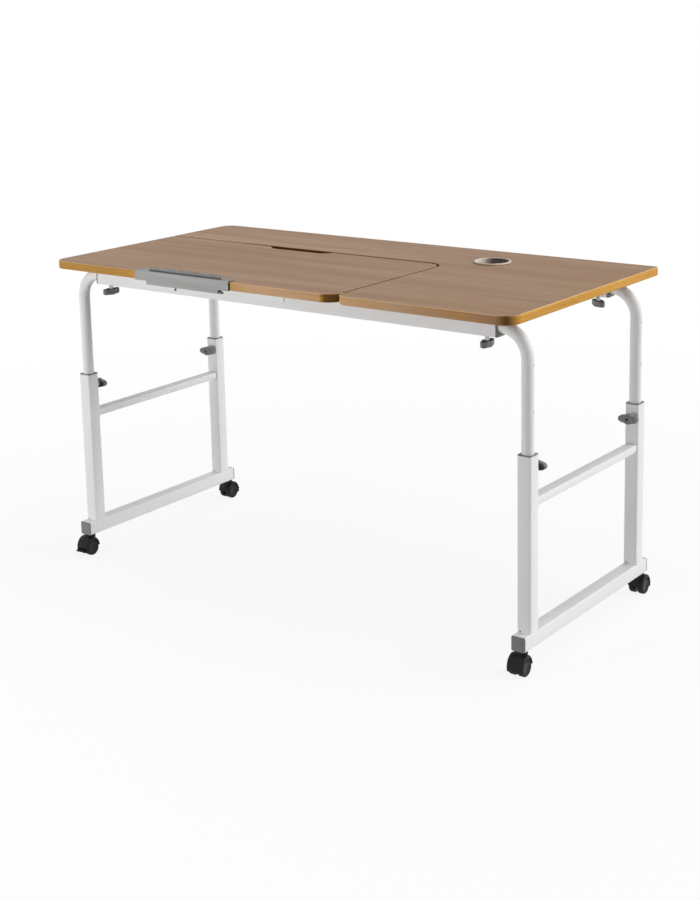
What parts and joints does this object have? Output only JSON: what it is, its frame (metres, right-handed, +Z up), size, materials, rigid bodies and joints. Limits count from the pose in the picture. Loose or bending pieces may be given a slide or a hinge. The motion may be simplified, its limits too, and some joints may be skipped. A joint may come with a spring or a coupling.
{
  "type": "mobile computer desk",
  "caption": "Wheeled computer desk with a split wood top: a tilting front panel with a book stop, telescoping bent-tube legs, width slides, clamping knobs and braked swivel casters.",
  "frame": {"origin": "on the floor under the middle of the desk's overall box", "axes": "+Z up, +X to the user's right along the top's length, -Y towards the user's side, where the tilting panel's book stop is"},
  "size_m": [1.221, 0.6, 0.7195],
  "materials": {
    "oak_laminate": "wood-grain laminate, satin",
    "white_powder_coat": "white powder coat, satin",
    "zinc_steel": "zinc plated, satin",
    "grey_plastic": "moulded, matte",
    "black_plastic": "moulded, satin",
    "cream_plastic": "moulded, satin"
  },
  "bodies": {
    "top": {"fixed_top": "oak_laminate", "cup_ring": "cream_plastic", "front_apron": "white_powder_coat", "rear_apron": "white_powder_coat", "left_support_rail": "white_powder_coat", "right_support_rail": "white_powder_coat", "hinge_fixed_leaf": "white_powder_coat", "hinge_pin": "zinc_steel", "front_left_apron_sleeve": "grey_plastic", "front_right_apron_sleeve": "grey_plastic", "rear_left_apron_sleeve": "grey_plastic", "rear_right_apron_sleeve": "grey_plastic"},
    "panel": {"tilt_panel": "oak_laminate", "hinge_panel_leaf": "zinc_steel", "prop_bracket": "zinc_steel", "stop_guide": "zinc_steel"},
    "prop": {"prop_stay": "zinc_steel"},
    "stop": {"stop_slide": "zinc_steel"},
    "left_tubes": {"front_left_bent_tube": "white_powder_coat", "rear_left_bent_tube": "white_powder_coat"},
    "left_leg": {"left_foot_rail": "white_powder_coat", "left_crossbar": "white_powder_coat", "front_left_upright": "white_powder_coat", "front_left_leg_sleeve": "grey_plastic", "front_left_foot_cap": "grey_plastic", "rear_left_upright": "white_powder_coat", "rear_left_leg_sleeve": "grey_plastic", "rear_left_foot_cap": "grey_plastic"},
    "right_tubes": {"front_right_bent_tube": "white_powder_coat", "rear_right_bent_tube": "white_powder_coat"},
    "right_leg": {"right_foot_rail": "white_powder_coat", "right_crossbar": "white_powder_coat", "front_right_upright": "white_powder_coat", "front_right_leg_sleeve": "grey_plastic", "front_right_foot_cap": "grey_plastic", "rear_right_upright": "white_powder_coat", "rear_right_leg_sleeve": "grey_plastic", "rear_right_foot_cap": "grey_plastic"},
    "front_left_apron_knob": {"front_left_apron_knob": "grey_plastic"},
    "front_left_leg_knob": {"front_left_leg_knob": "grey_plastic"},
    "front_left_caster": {"front_left_caster_hood": "black_plastic"},
    "front_left_inner_wheel": {"front_left_inner_wheel": "black_plastic"},
    "front_left_outer_wheel": {"front_left_outer_wheel": "black_plastic"},
    "front_left_brake": {"front_left_brake_pedal": "black_plastic"},
    "front_right_apron_knob": {"front_right_apron_knob": "grey_plastic"},
    "front_right_leg_knob": {"front_right_leg_knob": "grey_plastic"},
    "front_right_caster": {"front_right_caster_hood": "black_plastic"},
    "front_right_inner_wheel": {"front_right_inner_wheel": "black_plastic"},
    "front_right_outer_wheel": {"front_right_outer_wheel": "black_plastic"},
    "rear_left_apron_knob": {"rear_left_apron_knob": "grey_plastic"},
    "rear_left_leg_knob": {"rear_left_leg_knob": "grey_plastic"},
    "rear_left_caster": {"rear_left_caster_hood": "black_plastic"},
    "rear_left_inner_wheel": {"rear_left_inner_wheel": "black_plastic"},
    "rear_left_outer_wheel": {"rear_left_outer_wheel": "black_plastic"},
    "rear_left_brake": {"rear_left_brake_pedal": "black_plastic"},
    "rear_right_apron_knob": {"rear_right_apron_knob": "grey_plastic"},
    "rear_right_leg_knob": {"rear_right_leg_knob": "grey_plastic"},
    "rear_right_caster": {"rear_right_caster_hood": "black_plastic"},
    "rear_right_inner_wheel": {"rear_right_inner_wheel": "black_plastic"},
    "rear_right_outer_wheel": {"rear_right_outer_wheel": "black_plastic"}
  },
  "joints": [
    {"name": "panel_tilt", "type": "hinge", "parent": "top", "child": "panel", "pos_m": [-0.2011, -0.2395, 0.684], "axis": [1, 0, 0], "range_deg": [0, 45]},
    {"name": "prop_swing", "type": "hinge", "parent": "panel", "child": "prop", "pos_m": [-0.2011, -0.07675, 0.684], "axis": [1, 0, 0], "range_deg": [-90, 0]},
    {"name": "stop_lift", "type": "slide", "parent": "panel", "child": "stop", "axis": [0, 0, -1], "range_m": [0, 0.0095]},
    {"name": "left_width", "type": "slide", "parent": "top", "child": "left_tubes", "axis": [-1, 0, 0], "range_m": [0, 0.2]},
    {"name": "left_height", "type": "slide", "parent": "left_tubes", "child": "left_leg", "axis": [0, 0, -1], "range_m": [-0.135, 0.09]},
    {"name": "right_width", "type": "slide", "parent": "top", "child": "right_tubes", "axis": [1, 0, 0], "range_m": [0, 0.2]},
    {"name": "right_height", "type": "slide", "parent": "right_tubes", "child": "right_leg", "axis": [0, 0, -1], "range_m": [-0.135, 0.09]},
    {"name": "front_left_apron_knob_turn", "type": "hinge", "parent": "top", "child": "front_left_apron_knob", "pos_m": [-0.4999, -0.22, 0.6517], "axis": [0, 0, 1], "continuous": true},
    {"name": "front_left_leg_knob_turn", "type": "hinge", "parent": "left_leg", "child": "front_left_leg_knob", "pos_m": [-0.5885, -0.205, 0.403], "axis": [0, 1, 0], "continuous": true},
    {"name": "front_left_swivel", "type": "hinge", "parent": "left_leg", "child": "front_left_caster", "pos_m": [-0.5885, -0.2445, 0.049], "axis": [0, 0, 1], "continuous": true},
    {"name": "front_left_inner_wheel_roll", "type": "hinge", "parent": "front_left_caster", "child": "front_left_inner_wheel", "pos_m": [-0.5885, -0.2505, 0.018], "axis": [1, 0, 0], "continuous": true},
    {"name": "front_left_outer_wheel_roll", "type": "hinge", "parent": "front_left_caster", "child": "front_left_outer_wheel", "pos_m": [-0.5885, -0.2505, 0.018], "axis": [1, 0, 0], "continuous": true},
    {"name": "front_left_brake_press", "type": "hinge", "parent": "front_left_caster", "child": "front_left_brake", "pos_m": [-0.5885, -0.275, 0.015], "axis": [1, 0, 0], "range_deg": [0, 35]},
    {"name": "front_right_apron_knob_turn", "type": "hinge", "parent": "top", "child": "front_right_apron_knob", "pos_m": [0.4999, -0.22, 0.6517], "axis": [0, 0, 1], "continuous": true},
    {"name": "front_right_leg_knob_turn", "type": "hinge", "parent": "right_leg", "child": "front_right_leg_knob", "pos_m": [0.5885, -0.205, 0.403], "axis": [0, 1, 0], "continuous": true},
    {"name": "front_right_swivel", "type": "hinge", "parent": "right_leg", "child": "front_right_caster", "pos_m": [0.5885, -0.2445, 0.049], "axis": [0, 0, 1], "continuous": true},
    {"name": "front_right_inner_wheel_roll", "type": "hinge", "parent": "front_right_caster", "child": "front_right_inner_wheel", "pos_m": [0.5885, -0.2505, 0.018], "axis": [1, 0, 0], "continuous": true},
    {"name": "front_right_outer_wheel_roll", "type": "hinge", "parent": "front_right_caster", "child": "front_right_outer_wheel", "pos_m": [0.5885, -0.2505, 0.018], "axis": [1, 0, 0], "continuous": true},
    {"name": "rear_left_apron_knob_turn", "type": "hinge", "parent": "top", "child": "rear_left_apron_knob", "pos_m": [-0.4999, 0.22, 0.6517], "axis": [0, 0, 1], "continuous": true},
    {"name": "rear_left_leg_knob_turn", "type": "hinge", "parent": "left_leg", "child": "rear_left_leg_knob", "pos_m": [-0.5885, 0.205, 0.403], "axis": [0, 1, 0], "continuous": true},
    {"name": "rear_left_swivel", "type": "hinge", "parent": "left_leg", "child": "rear_left_caster", "pos_m": [-0.5885, 0.2445, 0.049], "axis": [0, 0, 1], "continuous": true},
    {"name": "rear_left_inner_wheel_roll", "type": "hinge", "parent": "rear_left_caster", "child": "rear_left_inner_wheel", "pos_m": [-0.5885, 0.2505, 0.018], "axis": [-1, 0, 0], "continuous": true},
    {"name": "rear_left_outer_wheel_roll", "type": "hinge", "parent": "rear_left_caster", "child": "rear_left_outer_wheel", "pos_m": [-0.5885, 0.2505, 0.018], "axis": [-1, 0, 0], "continuous": true},
    {"name": "rear_left_brake_press", "type": "hinge", "parent": "rear_left_caster", "child": "rear_left_brake", "pos_m": [-0.5885, 0.275, 0.015], "axis": [-1, 0, 0], "range_deg": [0, 35]},
    {"name": "rear_right_apron_knob_turn", "type": "hinge", "parent": "top", "child": "rear_right_apron_knob", "pos_m": [0.4999, 0.22, 0.6517], "axis": [0, 0, 1], "continuous": true},
    {"name": "rear_right_leg_knob_turn", "type": "hinge", "parent": "right_leg", "child": "rear_right_leg_knob", "pos_m": [0.5885, 0.205, 0.403], "axis": [0, 1, 0], "continuous": true},
    {"name": "rear_right_swivel", "type": "hinge", "parent": "right_leg", "child": "rear_right_caster", "pos_m": [0.5885, 0.2445, 0.049], "axis": [0, 0, 1], "continuous": true},
    {"name": "rear_right_inner_wheel_roll", "type": "hinge", "parent": "rear_right_caster", "child": "rear_right_inner_wheel", "pos_m": [0.5885, 0.2505, 0.018], "axis": [-1, 0, 0], "continuous": true},
    {"name": "rear_right_outer_wheel_roll", "type": "hinge", "parent": "rear_right_caster", "child": "rear_right_outer_wheel", "pos_m": [0.5885, 0.2505, 0.018], "axis": [-1, 0, 0], "continuous": true}
  ],
  "couplings": [
    {"joint": "prop_swing", "follows": "panel_tilt", "ratio": -2}
  ]
}
